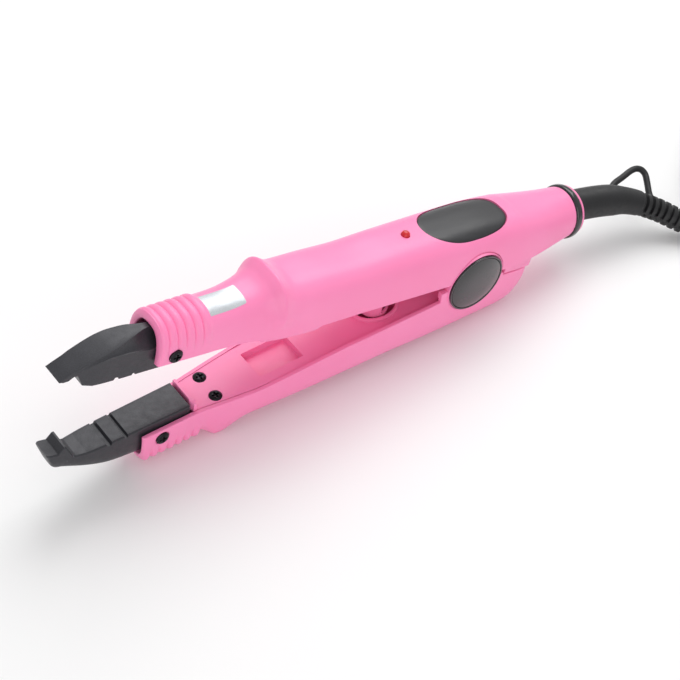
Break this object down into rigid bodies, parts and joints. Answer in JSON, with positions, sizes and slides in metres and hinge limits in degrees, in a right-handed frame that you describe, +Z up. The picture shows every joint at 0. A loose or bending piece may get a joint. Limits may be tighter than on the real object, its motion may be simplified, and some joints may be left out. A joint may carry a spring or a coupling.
{
  "type": "hair extension iron",
  "caption": "Scissor-style hair extension iron with two moulded arms on one pivot, grooved heated jaws, a return spring and a mains cord.",
  "frame": {"origin": "on the table under the middle of the iron, measured without the cord and the pieces on it", "axes": "+X from the jaw tips to the tail, +Y to the iron's far side in the picture, +Z up from the table the lower arm lies on"},
  "size_m": [0.3874, 0.0967, 0.0657],
  "materials": {
    "pink_plastic": "satin moulded plastic",
    "charcoal_coating": "satin baked coating on die-cast metal",
    "black_gloss": "polished",
    "black_rubber": "soft satin",
    "black_steel": "blackened steel",
    "bright_steel": "bright",
    "ceramic": "matt",
    "board": "satin",
    "lead_sleeve": "matt",
    "silver_label": "silvery film",
    "plate_black": "satin",
    "led_red": "clear red"
  },
  "bodies": {
    "handle": {"upper_shell": "pink_plastic", "upper_inner_cover": "pink_plastic", "spring_seat": "pink_plastic", "upper_jaw": "charcoal_coating", "upper_heater": "ceramic", "upper_heater_lead": "lead_sleeve", "upper_jaw_screw_far": "black_steel", "upper_jaw_screw_near": "black_steel", "upper_cover_screw_far": "black_steel", "upper_cover_screw_near": "black_steel", "circuit_board": "board", "board_capacitor": "black_gloss", "indicator_led": "led_red", "rating_plate": "plate_black", "bare_sticker": "silver_label", "tail_collar": "black_gloss", "tail_end_ring": "pink_plastic", "cord_boot": "black_rubber", "hang_loop": "black_rubber", "mains_cord": "black_rubber", "cord_coil": "black_rubber", "cord_tie": "black_rubber", "plug_body": "black_rubber", "plug_pin_a": "bright_steel", "plug_pin_b": "bright_steel"},
    "lower_arm": {"lower_shell": "pink_plastic", "lower_inner_cover": "pink_plastic", "lower_jaw": "charcoal_coating", "lower_heater": "ceramic", "lower_heater_lead": "lead_sleeve", "lower_jaw_screw_far": "black_steel", "lower_jaw_screw_near": "black_steel", "lower_cover_screw_far": "black_steel", "lower_cover_screw_near": "black_steel", "pivot_cap_far": "black_gloss", "pivot_cap_near": "black_gloss", "pivot_pin": "bright_steel", "return_spring": "bright_steel"}
  },
  "joints": [
    {"name": "arm_hinge", "type": "hinge", "parent": "handle", "child": "lower_arm", "pos_m": [0.05505, 0, 0.0236], "axis": [0, 1, 0], "range_deg": [0, 11], "stiffness_Nm_per_rad": 1, "springref_deg": -17.19, "deforming": ["return_spring"]}
  ]
}
